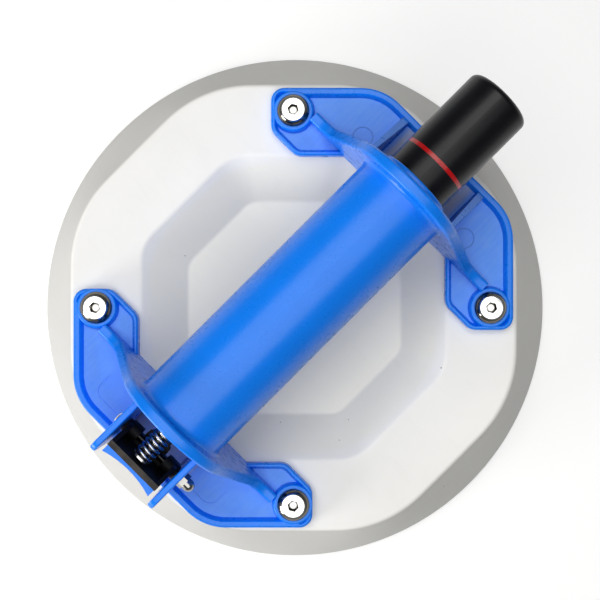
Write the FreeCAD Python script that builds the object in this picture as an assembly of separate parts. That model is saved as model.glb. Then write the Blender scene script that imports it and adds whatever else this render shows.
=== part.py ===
import FreeCAD, Part
import math
import os

# Hand-held vacuum lifter for floor tiles: a round rubber suction pad, a moulded handle that stands
# over it on four screwed feet, a hand pump inside the grip and a release valve at the far end.
# Millimetres. The origin is the centre of the sealing lip, +Z is up, and the plunger points along +X.

Vector = FreeCAD.Vector
X_AXIS = Vector(1, 0, 0)
Y_AXIS = Vector(0, 1, 0)
Z_AXIS = Vector(0, 0, 1)

# Suction pad
pad_radius = 105.0
lip_land = 8.0                    # flat width of the sealing lip
lip_edge_height = 2.0             # upright outer edge of the lip
rim_height = 26.0                 # top of the rim, where the feet stand
rim_apothem = 89.8                # centre to a flat of the octagonal rim
rim_corner_radius = 48.0
rim_edge_fillet = 2.4
recess_apothem = 61.4             # upper edge of the finger recess
recess_corner_radius = 18.0
recess_floor_apothem = 44.2
recess_floor_corner_radius = 9.0
recess_depth = 14.5
recess_edge_fillet = 3.0
recess_floor_fillet = 2.5
dish_depth = 8.0                  # hollow of the underside at its centre
seal_groove_radius = 90.0
seal_groove_width = 1.6
seal_groove_depth = 1.6

# Steel plate and threaded inserts moulded into the pad
plate_thickness = 2.0
plate_base_height = 14.0
plate_outer_apothem = 86.0
plate_inner_apothem = 66.0
plate_corner_radius = 14.0
insert_radius = 5.5

# Screws that hold the handle
screw_offset = 55.5               # screw centres in X and in Y from the pad centre
screw_radius = 3.0
screw_head_radius = 6.4
screw_head_height = 3.3
screw_head_edge = 0.8             # upright edge of the head
screw_face_radius = 4.45          # nearly flat face, with a plain edge to the rounded shoulder
screw_face_drop = 0.1             # face edge below the middle of the face
screw_shoulder_slope = 28.0       # degrees down, where the shoulder starts
screw_socket_width = 4.0
screw_socket_depth = 2.4
screw_socket_floor_radius = 1.45  # flat floor at the bottom of the countersunk end
screw_thread_depth = 8.5          # reach into the insert
thread_clearance = 0.05

# Handle
grip_radius = 18.5
grip_axis_height = 68.5
flange_inner_x = 57.3
flange_thickness = 4.4
flange_head_radius = 25.0
flange_slope = 20.0               # degrees from upright, below the round head
flange_low_height = 7.5           # low end of the flange above the rim
flange_screw_gap = 1.0            # low end of the flange to the screw head
flange_flare_radius = 9.0
flange_edge_fillet = 1.2
grip_root_fillet = 2.0

foot_outer_x = 87.6
plunger_foot_inner_x = 43.7
lever_foot_inner_x = 46.0
foot_floor_thickness = 2.6
foot_rim_height = 5.2             # rim round the foot, above the pad
foot_rim_width = 2.9              # outside the flange
heel_rim_width = 1.6              # inside the flange
foot_rim_fillet = 1.0
foot_rim_flare = 0.5              # small slope along the inner edge of the rim
heel_rim_flare = 0.3
foot_wall_draft = 0.95            # the pocket's walls come in by this much down to the floor
foot_outer_reach = 9.35           # screw centre to the outer 45 degree edge
plunger_foot_inner_reach = 8.9    # screw centre to the inner 45 degree edge
lever_foot_inner_reach = 7.6
foot_nose_radius = 5.2
plunger_foot_heel_line = 60.7     # pad centre to the 45 degree edge of the heel
lever_foot_heel_line = 62.0
foot_inner_corner_radius = 6.0
foot_outer_corner_radius = 22.0
boss_base_radius = 9.4            # at the pad; the boss narrows upwards
boss_top_radius = 7.8
boss_height = 5.8
boss_edge_fillet = 0.8
screw_hole_clearance = 0.3

rib_base = (18.3, 23.1)           # ribs of the plunger foot: distances of their sides from the
rib_middle = (19.7, 22.8)         # handle's plane at the pad, at the top of the foot's rim
rib_top = (19.9, 21.5)            # and where they end on the flange
rib_outer_x = 85.5                # outer end at the top of the foot's rim
rib_top_height = 37.0             # upper end above the pad
rib_end_width = 0.4               # left in front of the flange there
ejector_mark_radius = 4.0
ejector_mark_x = 68.0
ejector_mark_y = 28.7
foot_mark_depth = 0.35
lever_foot_panel = (67.5, 80.3, 33.0)   # nearest x, farthest x and half width of the marked panel

ear_inner_gap = 1.4               # lever cheek to ear
ear_thickness = 2.5
ear_height = 50.0                 # above the pad
ear_end_inset = 0.3               # ear end behind the outer edge of the foot
ear_corner_radius = 4.0
ear_edge_fillet = 0.7
ear_groove_width = 1.0            # slot in the floor along each ear
ear_groove_gap = 0.3
ear_groove_web = 0.6              # floor left under the slot
ear_groove_end_gap = 0.8

# Air duct from the pump down to the pad
duct_x = -51.5
duct_radius = 6.0
duct_bore_radius = 2.0
duct_shoulder_height = 24.0
spigot_radius = 3.9
spigot_length = 8.0
spigot_clearance = 0.1
duct_ring_section = 1.4
port_boss_radius = 8.0
port_boss_gap = 0.3
filter_radius = 4.5
filter_thickness = 2.4

# Pump
cylinder_radius = 15.9
cylinder_wall = 1.3
cylinder_end_x = -44.0
cylinder_end_wall = 2.5
cylinder_mouth_x = 56.4
cylinder_fit = 0.1
chamber_radius = 13.8
end_seal_thickness = 1.5
inlet_port_count = 4
inlet_port_radius = 0.8
inlet_port_circle = 3.3
check_disc_radius = 5.2
check_disc_thickness = 1.3
check_stem_radius = 1.4
check_bulb_radius = 2.0
check_bulb_length = 1.8

plunger_radius = 13.2
plunger_wall = 2.2
plunger_end_margin = 5.9          # left outside the neck when the plunger is fully in
plunger_end_wall = 3.0
plunger_end_fillet = 2.4
plunger_web = 8.0
plunger_stroke = 38.0
running_clearance = 0.06
guide_neck_length = 2.9
guide_neck_wall = 1.3
guide_neck_fillet = 0.7
guide_stop_gap = 0.3
wiper_width = 1.6
wiper_depth = 1.2
wiper_inset = 1.2
ring_x = 74.15                    # red line that shows when the vacuum is lost
ring_width = 1.6
ring_depth = 0.9
ring_recess = 0.05

piston_thickness = 6.0
piston_spigot_length = 4.0
piston_spigot_clearance = 0.1
piston_land_thickness = 1.4
piston_edge_gap = 0.5
cup_core_radius = 10.4
cup_wall = 1.0
cup_lip_gap = 0.06
piston_screw_radius = 2.0
piston_screw_head_radius = 3.6
piston_screw_head_height = 2.4
piston_screw_depth = 6.5

return_spring_radius = 10.4
return_spring_wire = 1.4
return_spring_turns = 9
return_spring_margin = 1.5        # left when the plunger is fully in

# Release valve
bush_radius = 3.5
bush_flange_width = 9.5           # across the flats of the hexagon
bush_flange_thickness = 1.7
bush_nut_radius = 4.7
bush_nut_thickness = 1.2
stem_radius = 1.8
stem_flat = 1.35                  # axis to each of the three air flats
stem_head_radius = 4.2
stem_head_thickness = 1.4
stem_tip_gap = 0.25
valve_seal_thickness = 1.2
valve_seal_radius = 4.0
retainer_radius = 3.9
retainer_thickness = 0.8
retainer_tip_offset = 1.1
stem_neck_radius = 1.3
valve_spring_radius = 3.4
valve_spring_wire = 1.2
valve_spring_turns = 6

# Release lever
pivot_x = -75.1
pivot_height = 55.0
pivot_radius = 1.5
lever_half_width = 12.1
lever_wall_x = -79.15             # inner face of the upright wall
lever_wall_thickness = 2.3
lever_top_height = 75.0
lever_base_height = 47.2
lever_floor_thickness = 2.0
lever_front_x = -72.9
lever_cheek_thickness = 1.6
lever_cheek_height = 15.5
lever_cheek_corner_radius = 3.0
lever_cheek_top_inset = 1.0       # cheek below the top of the wall
lever_knuckle_radius = 2.9
lever_web_half_length = 2.0
lever_knuckle_length = 6.6
lever_side_clearance = 0.2
lever_tongue = [(-74.5, 5.5), (-71.4, 5.3), (-70.6, 4.3), (-66.5, 4.0)]   # x and half width
lever_notch_width = 1.3
lever_notch_depth = 1.6
thumb_end_thickness = 3.0
thumb_middle_thickness = 1.2
thumb_side_inset = 0.4
thumb_peg_radius = 1.5
thumb_peg_spacing = 12.0
thumb_peg_height = 64.0
thumb_peg_cover = 0.7             # wall left in front of each peg
pivot_head_radius = 2.75
pivot_head_height = 1.65
pivot_socket_width = 2.0
acorn_width = 5.5
acorn_hex_length = 2.4
acorn_length = 6.2
acorn_dome_radius = 2.4

cut_margin = 1.0                  # how far a cutting body runs past the face it opens

# Worked out from the sizes above
flange_outer_x = flange_inner_x + flange_thickness
flange_low_half_width = screw_offset - screw_head_radius - flange_screw_gap
grip_bore_radius = cylinder_radius + cylinder_fit
cylinder_bore_radius = cylinder_radius - cylinder_wall
recess_floor_height = rim_height - recess_depth
ear_inner_y = lever_half_width + ear_inner_gap
ear_outer_y = ear_inner_y + ear_thickness
foot_top_height = rim_height + foot_floor_thickness
foot_rim_top_height = rim_height + foot_rim_height
boss_top_height = rim_height + boss_height
end_seal_x = cylinder_end_x - end_seal_thickness
return_spring_seat_x = cylinder_end_x + cylinder_end_wall
return_spring_solid = (return_spring_turns + 1) * return_spring_wire
piston_face_x = return_spring_seat_x + return_spring_solid + return_spring_margin + plunger_stroke
plunger_end_x = flange_outer_x + guide_neck_length + plunger_stroke + plunger_end_margin
bush_inner_x = -flange_inner_x + bush_flange_thickness
spring_seat_x = -flange_outer_x - bush_nut_thickness
stem_tip_x = lever_wall_x + stem_tip_gap
retainer_x = stem_tip_x + retainer_tip_offset


def cylinder_x(radius, start, end, height=grip_axis_height):
    """A cylinder along X in the plane of the handle."""
    return Part.makeCylinder(radius, end - start, Vector(start, 0, height), X_AXIS)


def revolved_x(profile, height=grip_axis_height):
    """A body turned about a line along X, from a closed list of (x, radius)."""
    points = [Vector(x, 0, height + radius) for x, radius in profile]
    face = Part.Face(Part.makePolygon(points + points[:1]))
    return face.revolve(Vector(0, 0, height), X_AXIS, 360)


def rounded_wire(corners, place):
    """A closed outline through (a, b, radius) corners, each rounded by its radius.
    place turns the two plane coordinates into a point."""
    flat = [Vector(a, b, 0) for a, b, radius in corners]
    count = len(corners)
    starts, ends, middles = [], [], []
    for index, (a, b, radius) in enumerate(corners):
        corner = flat[index]
        back = (flat[index - 1] - corner).normalize()
        ahead = (flat[(index + 1) % count] - corner).normalize()
        half = back.getAngle(ahead) / 2
        reach = radius / math.tan(half)
        starts.append(corner + back * reach)
        ends.append(corner + ahead * reach)
        bisector = (back + ahead).normalize()
        middles.append(corner + bisector * (radius / math.sin(half) - radius))
    edges = []
    for index in range(count):
        start, end, middle = (place(p) for p in (starts[index], ends[index], middles[index]))
        if corners[index][2] > 0:
            edges.append(Part.Arc(start, middle, end).toShape())
        following = place(starts[(index + 1) % count])
        edges.append(Part.LineSegment(end, following).toShape())
    return Part.Wire(edges)


def hexagon_prism(width, length, base, direction):
    """A hexagonal prism, width across its flats."""
    corner = width / math.sqrt(3)
    points = [Vector(corner * math.cos(math.radians(60 * k)), corner * math.sin(math.radians(60 * k)), 0)
              for k in range(7)]
    prism = Part.Face(Part.makePolygon(points)).extrude(Vector(0, 0, length))
    prism.Placement = FreeCAD.Placement(base, FreeCAD.Rotation(Z_AXIS, direction))
    return prism


def four_ways(shape):
    """The shape at each of the four feet, from the one at +X +Y."""
    other_side = shape.mirror(Vector(0, 0, 0), Y_AXIS)
    pair = [shape, other_side]
    return pair + [part.mirror(Vector(0, 0, 0), X_AXIS) for part in pair]


def octagon_corners(apothem, corner_radius):
    """The eight rounded corners: centre of the corner arc and the directions it runs between."""
    reach = (apothem - corner_radius) / math.cos(math.radians(22.5))
    corners = []
    for k in range(8):
        middle = math.radians(45 * k + 22.5)
        centre = Vector(reach * math.cos(middle), reach * math.sin(middle), 0)
        turns = [math.radians(45 * k + step) for step in (0, 22.5, 45)]
        corners.append([centre + Vector(math.cos(t), math.sin(t), 0) * corner_radius for t in turns])
    return corners


def octagon_wire(apothem, corner_radius, height):
    """Rounded octagon with flats square to X and Y."""
    up = Vector(0, 0, height)
    corners = octagon_corners(apothem, corner_radius)
    edges = []
    for k in range(8):
        start, middle, end = (point + up for point in corners[k])
        edges.append(Part.Arc(start, middle, end).toShape())
        edges.append(Part.LineSegment(end, corners[(k + 1) % 8][0] + up).toShape())
    return Part.Wire(edges)


def circle_like_octagon(radius, height, apothem, corner_radius):
    """A circle cut into sixteen arcs that stand below the edges of the octagon."""
    corners = octagon_corners(apothem, corner_radius)
    turns = [math.atan2(point.y, point.x) for corner in corners for point in (corner[0], corner[2])]
    edges = []
    for k, turn in enumerate(turns):
        span = (turns[(k + 1) % 16] - turn) % (2 * math.pi)
        points = [Vector(radius * math.cos(t), radius * math.sin(t), height)
                  for t in (turn, turn + span / 2, turn + span)]
        edges.append(Part.Arc(*points).toShape())
    return Part.Wire(edges)


def edges_at_height(shape, height, reach):
    """The edges that lie wholly at one height, with their middles within the reach of the axis."""
    chosen = []
    for edge in shape.Edges:
        box = edge.BoundBox
        level = abs(box.ZMin - height) < 0.01 and abs(box.ZMax - height) < 0.01
        middle = edge.valueAt((edge.FirstParameter + edge.LastParameter) / 2)
        if level and math.hypot(middle.x, middle.y) < reach:
            chosen.append(edge)
    return chosen


def dish(radius, depth):
    """The shallow hollow of the underside: a spherical cap standing on z = 0."""
    ball_radius = (radius ** 2 + depth ** 2) / (2 * depth)
    half = math.asin(radius / ball_radius) / 2
    bend = Vector(ball_radius * math.sin(half), 0, depth - ball_radius + ball_radius * math.cos(half))
    rim, top, origin = Vector(radius, 0, 0), Vector(0, 0, depth), Vector(0, 0, 0)
    outline = [Part.LineSegment(origin, rim).toShape(), Part.Arc(rim, bend, top).toShape(),
               Part.LineSegment(top, origin).toShape()]
    return Part.Face(Part.Wire(outline)).revolve(origin, Z_AXIS, 360)


def stiffener_plate():
    """Octagonal steel ring inside the rubber, which the inserts stand on."""
    outer = Part.Face(octagon_wire(plate_outer_apothem, plate_corner_radius, plate_base_height))
    inner = Part.Face(octagon_wire(plate_inner_apothem, plate_corner_radius, plate_base_height))
    plate = outer.cut(inner).extrude(Vector(0, 0, plate_thickness))
    hole = Part.makeCylinder(screw_radius + screw_hole_clearance, plate_thickness,
                             Vector(screw_offset, screw_offset, plate_base_height))
    return plate.cut(four_ways(hole))


def pad_insert(bored=True):
    """One round threaded insert, from the plate up to the rim top."""
    base = Vector(screw_offset, screw_offset, plate_base_height + plate_thickness)
    length = rim_height - plate_base_height - plate_thickness
    insert = Part.makeCylinder(insert_radius, length, base)
    if not bored:
        return insert
    return insert.cut(Part.makeCylinder(screw_radius + thread_clearance, length, base))


def suction_pad():
    """Round rubber pad with an octagonal rim and a recess for the fingers."""
    lip = Part.makeCylinder(pad_radius, lip_edge_height)
    flank = Part.makeLoft([circle_like_octagon(pad_radius, lip_edge_height, rim_apothem, rim_corner_radius),
                           octagon_wire(rim_apothem, rim_corner_radius, rim_height)], True, True)
    pad = lip.fuse(flank)
    pad = pad.makeFillet(rim_edge_fillet, edges_at_height(pad, rim_height, pad_radius))
    recess = Part.makeLoft([octagon_wire(recess_apothem, recess_corner_radius, rim_height),
                            octagon_wire(recess_floor_apothem, recess_floor_corner_radius,
                                         recess_floor_height)], True, True)
    pad = pad.cut(recess)
    pad = pad.makeFillet(recess_edge_fillet, edges_at_height(pad, rim_height, recess_apothem * 1.1))
    pad = pad.makeFillet(recess_floor_fillet,
                         edges_at_height(pad, recess_floor_height, recess_floor_apothem * 1.1))
    port_top = duct_shoulder_height - port_boss_gap
    boss_base = dish_depth + filter_thickness
    pad = pad.fuse(Part.makeCylinder(port_boss_radius, port_top - boss_base, Vector(duct_x, 0, boss_base)))
    pad = pad.cut(dish(pad_radius - lip_land, dish_depth))
    groove_top = dish_height(seal_groove_radius) + seal_groove_depth
    groove = Part.makeCylinder(seal_groove_radius + seal_groove_width / 2, groove_top)
    groove = groove.cut(Part.makeCylinder(seal_groove_radius - seal_groove_width / 2, groove_top))
    pad = pad.cut(groove)
    socket_floor = duct_shoulder_height - spigot_length - port_boss_gap
    pad = pad.cut(Part.makeCylinder(spigot_radius + spigot_clearance, rim_height - socket_floor,
                                    Vector(duct_x, 0, socket_floor)))
    pad = pad.cut(Part.makeCylinder(duct_bore_radius, rim_height, Vector(duct_x, 0, 0)))
    pad = pad.cut(Part.makeCylinder(filter_radius, filter_top_height(), Vector(duct_x, 0, 0)))
    pad = pad.cut(stiffener_plate().fuse(four_ways(pad_insert(bored=False))))
    screw_room = Part.makeCylinder(screw_radius + screw_hole_clearance, plate_thickness,
                                   Vector(screw_offset, screw_offset, plate_base_height))
    return pad.cut(four_ways(screw_room))


def dish_height(radius):
    """Height of the hollow above the lip at one distance from the axis."""
    edge = pad_radius - lip_land
    ball_radius = (edge ** 2 + dish_depth ** 2) / (2 * dish_depth)
    return dish_depth - ball_radius + math.sqrt(ball_radius ** 2 - radius ** 2)


def filter_top_height():
    """Roof of the filter pocket under the air duct."""
    return dish_height(abs(duct_x)) + filter_thickness


def air_filter():
    """Felt disc in the mouth of the air port."""
    return Part.makeCylinder(filter_radius, filter_thickness,
                             Vector(duct_x, 0, filter_top_height() - filter_thickness))


def handle_screw():
    """Screw with a rounded head and a hexagon socket."""
    head_base = boss_top_height
    top = head_base + screw_head_height
    shank_bottom = rim_height - screw_thread_depth
    face_edge = Vector(screw_face_radius, 0, top - screw_face_drop)
    shoulder_end = Vector(screw_head_radius, 0, head_base + screw_head_edge)
    run, drop = shoulder_end.x - face_edge.x, face_edge.z - shoulder_end.z
    quarter_turn = (math.atan2(drop, run) - math.radians(screw_shoulder_slope)) / 2
    middle = (face_edge + shoulder_end) / 2
    shoulder_bend = middle + Vector(drop, 0, run) * (math.tan(quarter_turn) / 2)
    face_bend = Vector(screw_face_radius / 2, 0, top - screw_face_drop / 4)
    corners = [shoulder_end, Vector(screw_head_radius, 0, head_base), Vector(screw_radius, 0, head_base),
               Vector(screw_radius, 0, shank_bottom), Vector(0, 0, shank_bottom), Vector(0, 0, top)]
    outline = [Part.Arc(corners[-1], face_bend, face_edge).toShape(),
               Part.Arc(face_edge, shoulder_bend, shoulder_end).toShape()]
    outline += [Part.LineSegment(start, end).toShape() for start, end in zip(corners, corners[1:])]
    screw = Part.Face(Part.Wire(outline)).revolve(Vector(0, 0, 0), Z_AXIS, 360)
    socket_length = screw_socket_depth + cut_margin
    socket_floor = Vector(0, 0, top - screw_socket_depth)
    socket = hexagon_prism(screw_socket_width, socket_length, socket_floor, Z_AXIS)
    countersink = Part.makeCone(screw_socket_floor_radius, screw_socket_floor_radius + socket_length,
                                socket_length, socket_floor)
    screw = screw.cut(socket.common(countersink))
    screw.translate(Vector(screw_offset, screw_offset, 0))
    return screw


def flange(inner_x):
    """Upright end plate: a round head about the grip, flaring down to two low ends."""
    slope = math.radians(flange_slope)
    apex = grip_axis_height + flange_head_radius / math.sin(slope)
    low = rim_height + flange_low_height
    flare = (apex - low) * math.tan(slope)
    half = [(flange_low_half_width, rim_height, 0), (flange_low_half_width, low, 0),
            (flare, low, flange_flare_radius)]
    corners = half + [(0, apex, flange_head_radius)]
    corners += [(-y, z, radius) for y, z, radius in reversed(half)]
    wire = rounded_wire(corners, lambda p: Vector(inner_x, p.x, p.y))
    plate = Part.Face(wire).extrude(Vector(flange_thickness, 0, 0))
    upper = [edge for edge in plate.Edges
             if edge.BoundBox.XLength < 0.01 and edge.BoundBox.ZMax > low + 0.01]
    return plate.makeFillet(flange_edge_fillet, upper)


def foot_outline(inner_x, inner_reach, heel_line, inset=0):
    """Outline of a foot at +X: (x, y, corner radius), every edge moved inwards by the inset. The
    inner and outer 45 degree edges pass the screw at their reaches and meet at the nose."""
    heel_sum = (heel_line + inset) * math.sqrt(2)
    outer_sum = 2 * screw_offset + (foot_outer_reach - inset) * math.sqrt(2)
    inner_step = (inner_reach - inset) * math.sqrt(2)
    root_x, near_x, far_x = flange_inner_x + inset, inner_x + inset, foot_outer_x - inset
    half = [(root_x, heel_sum - root_x, 0),
            (near_x, heel_sum - near_x, foot_inner_corner_radius - inset),
            (near_x, near_x + inner_step, foot_inner_corner_radius - inset),
            ((outer_sum - inner_step) / 2, (outer_sum + inner_step) / 2, foot_nose_radius - inset),
            (far_x, outer_sum - far_x, foot_outer_corner_radius - inset)]
    return half + [(x, -y, radius) for x, y, radius in reversed(half)]


def foot(*shape):
    """Thin floor with a raised rim and two screw bosses, at +X."""
    def wire(height, inset=0):
        return rounded_wire(foot_outline(*shape, inset), lambda p: Vector(p.x, p.y, height))

    outline = Part.Face(wire(rim_height))
    body = outline.extrude(Vector(0, 0, foot_rim_height))
    body = body.makeFillet(foot_rim_fillet, edges_at_height(body, foot_rim_top_height, pad_radius))
    middle_x = flange_inner_x + flange_thickness / 2
    for rim_width, flare, start_x, end_x in ((heel_rim_width, heel_rim_flare, 0, middle_x),
                                             (foot_rim_width, foot_rim_flare, middle_x, foot_outer_x)):
        pocket = Part.makeLoft([wire(foot_top_height, rim_width + foot_wall_draft),
                                wire(foot_rim_top_height - flare, rim_width),
                                wire(foot_rim_top_height + cut_margin, rim_width - flare - cut_margin)],
                               True, True)
        side = Part.makeBox(end_x - start_x, 2 * pad_radius, 2 * rim_height, Vector(start_x, -pad_radius, 0))
        body = body.cut(pocket.common(side))
    boss = Part.makeCone(boss_base_radius, boss_top_radius, boss_height,
                         Vector(screw_offset, screw_offset, rim_height))
    boss = boss.makeFillet(boss_edge_fillet, edges_at_height(boss, boss_top_height, pad_radius))
    bosses = boss.fuse(boss.mirror(Vector(0, 0, 0), Y_AXIS))
    return body.fuse(bosses.common(outline.extrude(Vector(0, 0, boss_height))))


def handle_body():
    """One-piece moulded handle: grip, two flanges, two feet, ears for the lever and the air duct."""
    grip = cylinder_x(grip_radius, -flange_inner_x, flange_inner_x)
    flanges = [flange(flange_inner_x), flange(-flange_outer_x)]
    body = grip.fuse(flanges)
    roots = [edge for edge in body.Edges
             if edge.BoundBox.XLength < 0.01 and abs(edge.BoundBox.YLength - 2 * grip_radius) < 0.01]
    body = body.makeFillet(grip_root_fillet, roots)
    plunger_foot = foot(plunger_foot_inner_x, plunger_foot_inner_reach, plunger_foot_heel_line)
    lever_foot = foot(lever_foot_inner_x, lever_foot_inner_reach, lever_foot_heel_line)
    lever_foot = lever_foot.mirror(Vector(0, 0, 0), X_AXIS)
    body = body.fuse([plunger_foot, lever_foot] + ears() + plunger_foot_ribs() + [duct_column()])
    body = body.removeSplitter()
    body = body.cut(handle_cuts())
    return body


def ears():
    """Two upright plates that carry the lever."""
    far_x = -(foot_outer_x - ear_end_inset)
    top = rim_height + ear_height
    plates = []
    for y in (ear_inner_y, -ear_outer_y):
        corners = [(-flange_inner_x, rim_height, 0), (far_x, rim_height, 0),
                   (far_x, top, ear_corner_radius), (-flange_inner_x, top, 0)]
        wire = rounded_wire(corners, lambda p: Vector(p.x, y, p.y))
        plate = Part.Face(wire).extrude(Vector(0, ear_thickness, 0))
        outer = [edge for edge in plate.Edges if edge.BoundBox.YLength < 0.01
                 and edge.BoundBox.ZMax > rim_height + 0.01
                 and edge.BoundBox.XMin < -flange_inner_x - 0.01]
        plates.append(plate.makeFillet(ear_edge_fillet, outer))
    return plates


def plunger_foot_ribs():
    """Two ribs along X on the foot under the plunger, which rise as webs to the flange."""
    start_x = flange_inner_x + flange_thickness / 2
    sections = [(rim_height, foot_outer_x - foot_rim_width / 2, rib_base),
                (foot_rim_top_height - foot_rim_flare, rib_outer_x, rib_middle),
                (rim_height + rib_top_height, flange_outer_x + rib_end_width, rib_top)]
    ribs = []
    for side in (1, -1):
        wires = []
        for height, end_x, (near_y, far_y) in sections:
            corners = [Vector(start_x, side * near_y, height), Vector(end_x, side * near_y, height),
                       Vector(end_x, side * far_y, height), Vector(start_x, side * far_y, height)]
            wires.append(Part.makePolygon(corners + corners[:1]))
        ribs.append(Part.makeLoft(wires, True, True))
    return ribs


def duct_column():
    """Round column under the grip with a spigot that plugs into the pad."""
    column = Part.makeCylinder(duct_radius, grip_axis_height - chamber_radius - duct_shoulder_height,
                               Vector(duct_x, 0, duct_shoulder_height))
    spigot = Part.makeCylinder(spigot_radius, spigot_length + duct_radius,
                               Vector(duct_x, 0, duct_shoulder_height - spigot_length))
    return column.fuse(spigot)


def duct_ring_height():
    """Middle height of the sealing ring on the spigot."""
    return duct_shoulder_height - spigot_length / 2


def handle_cuts():
    """Everything taken out of the handle moulding."""
    cuts = [cylinder_x(grip_bore_radius, end_seal_x, flange_outer_x + cut_margin),
            cylinder_x(chamber_radius, -flange_inner_x, end_seal_x + cut_margin),
            cylinder_x(bush_radius, -flange_outer_x - cut_margin, -flange_inner_x + cut_margin),
            Part.makeCylinder(duct_bore_radius, grip_axis_height - duct_shoulder_height + spigot_length,
                              Vector(duct_x, 0, duct_shoulder_height - spigot_length))]
    ring_groove = Part.makeCylinder(spigot_radius + cut_margin, duct_ring_section,
                                    Vector(duct_x, 0, duct_ring_height() - duct_ring_section / 2))
    core = Part.makeCylinder(spigot_radius + spigot_clearance - duct_ring_section, rim_height,
                             Vector(duct_x, 0, 0))
    cuts.append(ring_groove.cut(core))
    hole = Part.makeCylinder(screw_radius + screw_hole_clearance, boss_height + cut_margin,
                             Vector(screw_offset, screw_offset, rim_height))
    cuts += four_ways(hole)
    for side in (1, -1):
        pin = Part.makeCylinder(pivot_radius + running_clearance, 2 * ear_thickness,
                                Vector(pivot_x, side * (ear_inner_y - cut_margin), pivot_height),
                                Y_AXIS * side)
        cuts.append(pin)
        cuts.append(Part.makeCylinder(ejector_mark_radius, foot_mark_depth,
                                      Vector(ejector_mark_x, side * ejector_mark_y,
                                             foot_top_height - foot_mark_depth)))
        slot_outer = ear_inner_y - ear_groove_gap
        slot_y = slot_outer - ear_groove_width if side > 0 else -slot_outer
        slot_end_x = foot_outer_x - foot_rim_width - foot_wall_draft - ear_groove_end_gap
        slot_length = slot_end_x - flange_outer_x - ear_groove_end_gap
        cuts.append(Part.makeBox(slot_length, ear_groove_width, foot_floor_thickness,
                                 Vector(-slot_end_x, slot_y, rim_height + ear_groove_web)))
    near_x, far_x, half_width = lever_foot_panel
    corner = (far_x - near_x) / 3
    for side in (1, -1):
        corners = [(-near_x, side * ear_outer_y, 0), (-far_x, side * ear_outer_y, 0),
                   (-far_x, side * half_width, corner), (-near_x, side * half_width, corner)]
        wire = rounded_wire(corners, lambda p: Vector(p.x, p.y, foot_top_height - foot_mark_depth))
        cuts.append(Part.Face(wire).extrude(Vector(0, 0, foot_mark_depth)))
    return cuts


def duct_ring():
    """Rubber ring in the groove of the spigot."""
    outer = spigot_radius + spigot_clearance
    base = Vector(duct_x, 0, duct_ring_height() - duct_ring_section / 2)
    ring = Part.makeCylinder(outer, duct_ring_section, base)
    return ring.cut(Part.makeCylinder(outer - duct_ring_section, duct_ring_section, base))


def pump_cylinder():
    """Drawn aluminium cup that the piston runs in."""
    shell = cylinder_x(cylinder_radius, cylinder_end_x, cylinder_mouth_x)
    bore = cylinder_x(cylinder_bore_radius, cylinder_end_x + cylinder_end_wall, cylinder_mouth_x)
    ports = [cylinder_x(check_stem_radius, cylinder_end_x, 0)]
    for k in range(inlet_port_count):
        port = cylinder_x(inlet_port_radius, cylinder_end_x, 0)
        port.translate(Vector(0, 0, inlet_port_circle))
        port.rotate(Vector(0, 0, grip_axis_height), X_AXIS, 360 * k / inlet_port_count)
        ports.append(port)
    return shell.cut([bore] + ports)


def cylinder_seal():
    """Flat ring that seals the end of the cylinder against the shoulder of its bore."""
    ring = cylinder_x(cylinder_radius, end_seal_x, cylinder_end_x)
    return ring.cut(cylinder_x(chamber_radius, end_seal_x, cylinder_end_x))


def inlet_check_valve():
    """Rubber umbrella valve in the end wall: a domed disc, a stem and a bulb that holds it."""
    wall_x = cylinder_end_x + cylinder_end_wall
    rim = 0.4
    return revolved_x([(wall_x, 0), (wall_x + check_disc_thickness, 0), (wall_x + rim, check_disc_radius),
                       (wall_x, check_disc_radius), (wall_x, check_stem_radius),
                       (cylinder_end_x, check_stem_radius), (cylinder_end_x, check_bulb_radius),
                       (cylinder_end_x - check_bulb_length, check_stem_radius),
                       (cylinder_end_x - check_bulb_length, 0), (wall_x, 0)][1:-1])


def guide_sleeve():
    """Bearing for the plunger: a long sleeve in the cylinder, a head in the flange and a neck outside."""
    neck_end = flange_outer_x + guide_neck_length
    stop_x = piston_face_x + piston_thickness + guide_stop_gap
    sleeve = cylinder_x(cylinder_bore_radius - running_clearance, stop_x, cylinder_mouth_x)
    head = cylinder_x(cylinder_radius, cylinder_mouth_x, flange_outer_x)
    bore_radius = plunger_radius + running_clearance
    neck = cylinder_x(bore_radius + guide_neck_wall, flange_outer_x, neck_end)
    rim = [edge for edge in neck.Edges if abs(edge.BoundBox.XMin - neck_end) < 0.01
           and edge.BoundBox.XLength < 0.01]
    neck = neck.makeFillet(guide_neck_fillet, rim)
    ring = sleeve.fuse([head, neck]).removeSplitter()
    ring = ring.cut(cylinder_x(bore_radius, stop_x, neck_end))
    wiper_x = flange_outer_x - wiper_inset
    return ring.cut(cylinder_x(bore_radius + wiper_depth, wiper_x - wiper_width, wiper_x))


def wiper_ring():
    """Rubber ring in the guide that wipes the plunger."""
    wiper_x = flange_outer_x - wiper_inset
    bore_radius = plunger_radius + running_clearance
    ring = cylinder_x(bore_radius + wiper_depth, wiper_x - wiper_width, wiper_x)
    return ring.cut(cylinder_x(bore_radius, wiper_x - wiper_width, wiper_x))


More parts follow.
